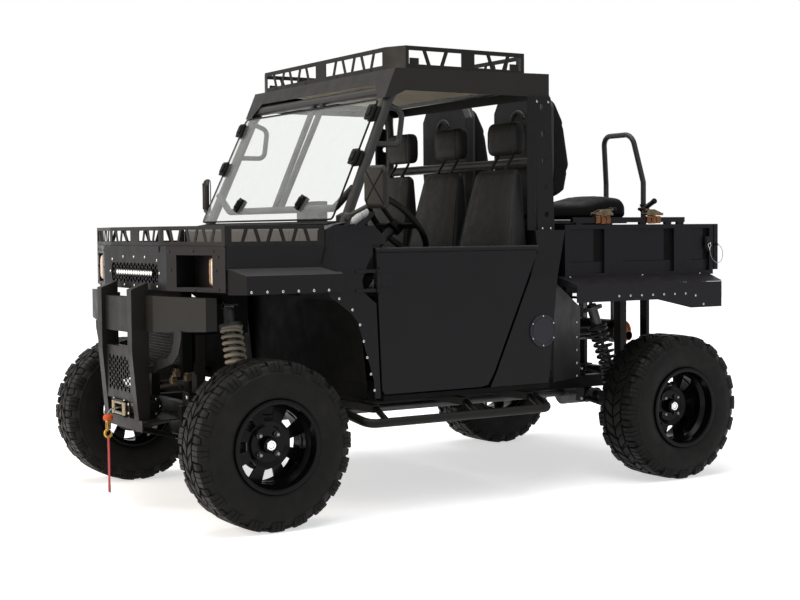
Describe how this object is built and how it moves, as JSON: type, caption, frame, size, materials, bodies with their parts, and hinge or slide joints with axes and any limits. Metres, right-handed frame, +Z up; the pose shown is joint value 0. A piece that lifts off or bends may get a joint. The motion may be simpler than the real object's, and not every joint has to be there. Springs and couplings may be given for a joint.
{
  "type": "side by side utility vehicle",
  "caption": "Side by side utility vehicle with half doors, racks on hood and roof, bull bar with winch, tilting cargo bed and rear-facing seats",
  "frame": {"origin": "on the ground, under the middle of the vehicle's length and width", "axes": "the vehicle faces -Y, its left side is +X, +Z is up"},
  "size_m": [1.776, 2.953, 1.98],
  "materials": {
    "body_black": "satin textured powder coat",
    "frame_black": "satin black paint",
    "tyre": "matt",
    "rim_black": "gloss black",
    "spring_steel": "grey beige enamel",
    "winch_metal": "bright rollers",
    "hook_brass": "yellow passivated",
    "rope_steel": "wire",
    "strap_red": "woven webbing",
    "lamp_amber": "clear amber lens",
    "light_white": "lit diffuser",
    "clear_pane": "clear",
    "dash_plastic": "grained",
    "seat_cover": "quilted cover",
    "seat_shell": "moulded",
    "wire_steel": "wire",
    "lamp_red": "lens"
  },
  "bodies": {
    "chassis": {"arch_liners": "frame_black", "bull_bar": "body_black", "cab_floor": "frame_black", "cage": "frame_black", "cross_members": "frame_black", "dampers": "frame_black", "dashboard": "dash_plastic", "driveline": "frame_black", "engine_block": "frame_black", "frame_rails": "frame_black", "front_arms": "frame_black", "grille_mesh": "frame_black", "headlamps": "lamp_amber", "headrests": "seat_cover", "hood": "body_black", "hood_rack": "body_black", "left_front_panel": "body_black", "light_bar": "light_white", "mirrors": "body_black", "muffler": "frame_black", "nose_panel": "body_black", "pull_strap": "strap_red", "rear_arms": "frame_black", "rear_side_panels": "body_black", "receiver": "frame_black", "right_front_panel": "body_black", "roof": "body_black", "roof_rack": "body_black", "seat_backs": "seat_cover", "seat_cushions": "seat_cover", "shock_towers": "frame_black", "side_covers": "body_black", "side_steps": "frame_black", "springs": "spring_steel", "winch": "winch_metal", "winch_hook": "hook_brass", "winch_rope": "rope_steel", "windshield": "clear_pane"},
    "left_knuckle": {"left_knuckle": "frame_black"},
    "right_knuckle": {"right_knuckle": "frame_black"},
    "steering_rack": {"steering_rack": "frame_black"},
    "steering_wheel": {"steering_wheel": "dash_plastic"},
    "front_left_wheel": {"front_left_tyre": "tyre", "front_left_rim": "rim_black"},
    "front_right_wheel": {"front_right_tyre": "tyre", "front_right_rim": "rim_black"},
    "rear_left_wheel": {"rear_left_tyre": "tyre", "rear_left_rim": "rim_black"},
    "rear_right_wheel": {"rear_right_tyre": "tyre", "rear_right_rim": "rim_black"},
    "left_door": {"left_door": "body_black"},
    "right_door": {"right_door": "body_black"},
    "bed": {"bed": "body_black", "rear_flares": "body_black", "rear_seat_shells": "seat_shell", "rear_seat_pads": "seat_cover", "grab_bar": "frame_black", "tail_lamps": "lamp_red"},
    "tailgate": {"tailgate": "body_black", "gate_lanyard": "wire_steel"}
  },
  "joints": [
    {"name": "steer_left", "type": "hinge", "parent": "chassis", "child": "left_knuckle", "pos_m": [0.63, -1.098, 0.343], "axis": [0, 0, 1], "range_deg": [-30, 30]},
    {"name": "steer_right", "type": "hinge", "parent": "chassis", "child": "right_knuckle", "pos_m": [-0.63, -1.098, 0.343], "axis": [0, 0, 1], "range_deg": [-30, 30]},
    {"name": "rack_slide", "type": "slide", "parent": "chassis", "child": "steering_rack", "axis": [-1, 0, 0], "range_m": [-0.06, 0.06]},
    {"name": "steering_turn", "type": "hinge", "parent": "chassis", "child": "steering_wheel", "pos_m": [0.35, -0.231, 1.219], "axis": [0, 0.76, 0.65], "range_deg": [-245, 245]},
    {"name": "front_left_roll", "type": "hinge", "parent": "left_knuckle", "child": "front_left_wheel", "pos_m": [0.7355, -1.098, 0.343], "axis": [1, 0, 0], "continuous": true},
    {"name": "front_right_roll", "type": "hinge", "parent": "right_knuckle", "child": "front_right_wheel", "pos_m": [-0.7355, -1.098, 0.343], "axis": [1, 0, 0], "continuous": true},
    {"name": "rear_left_roll", "type": "hinge", "parent": "chassis", "child": "rear_left_wheel", "pos_m": [0.722, 1.059, 0.343], "axis": [1, 0, 0], "continuous": true},
    {"name": "rear_right_roll", "type": "hinge", "parent": "chassis", "child": "rear_right_wheel", "pos_m": [-0.722, 1.059, 0.343], "axis": [1, 0, 0], "continuous": true},
    {"name": "left_door_hinge", "type": "hinge", "parent": "chassis", "child": "left_door", "pos_m": [0.766, -0.585, 0.8], "axis": [0, 0, 1], "range_deg": [-70, 0]},
    {"name": "right_door_hinge", "type": "hinge", "parent": "chassis", "child": "right_door", "pos_m": [-0.766, -0.585, 0.8], "axis": [0, 0, 1], "range_deg": [0, 70]},
    {"name": "bed_tilt", "type": "hinge", "parent": "chassis", "child": "bed", "pos_m": [0, 1.37, 0.94], "axis": [-1, 0, 0], "range_deg": [0, 40]},
    {"name": "tailgate_hinge", "type": "hinge", "parent": "bed", "child": "tailgate", "pos_m": [0, 1.417, 0.985], "axis": [-1, 0, 0], "range_deg": [0, 90]}
  ],
  "couplings": [
    {"joint": "steer_right", "follows": "steer_left", "ratio": 1},
    {"joint": "rack_slide", "follows": "steer_left", "m_per_rad": 0.1},
    {"joint": "steering_turn", "follows": "steer_left", "ratio": 8}
  ]
}
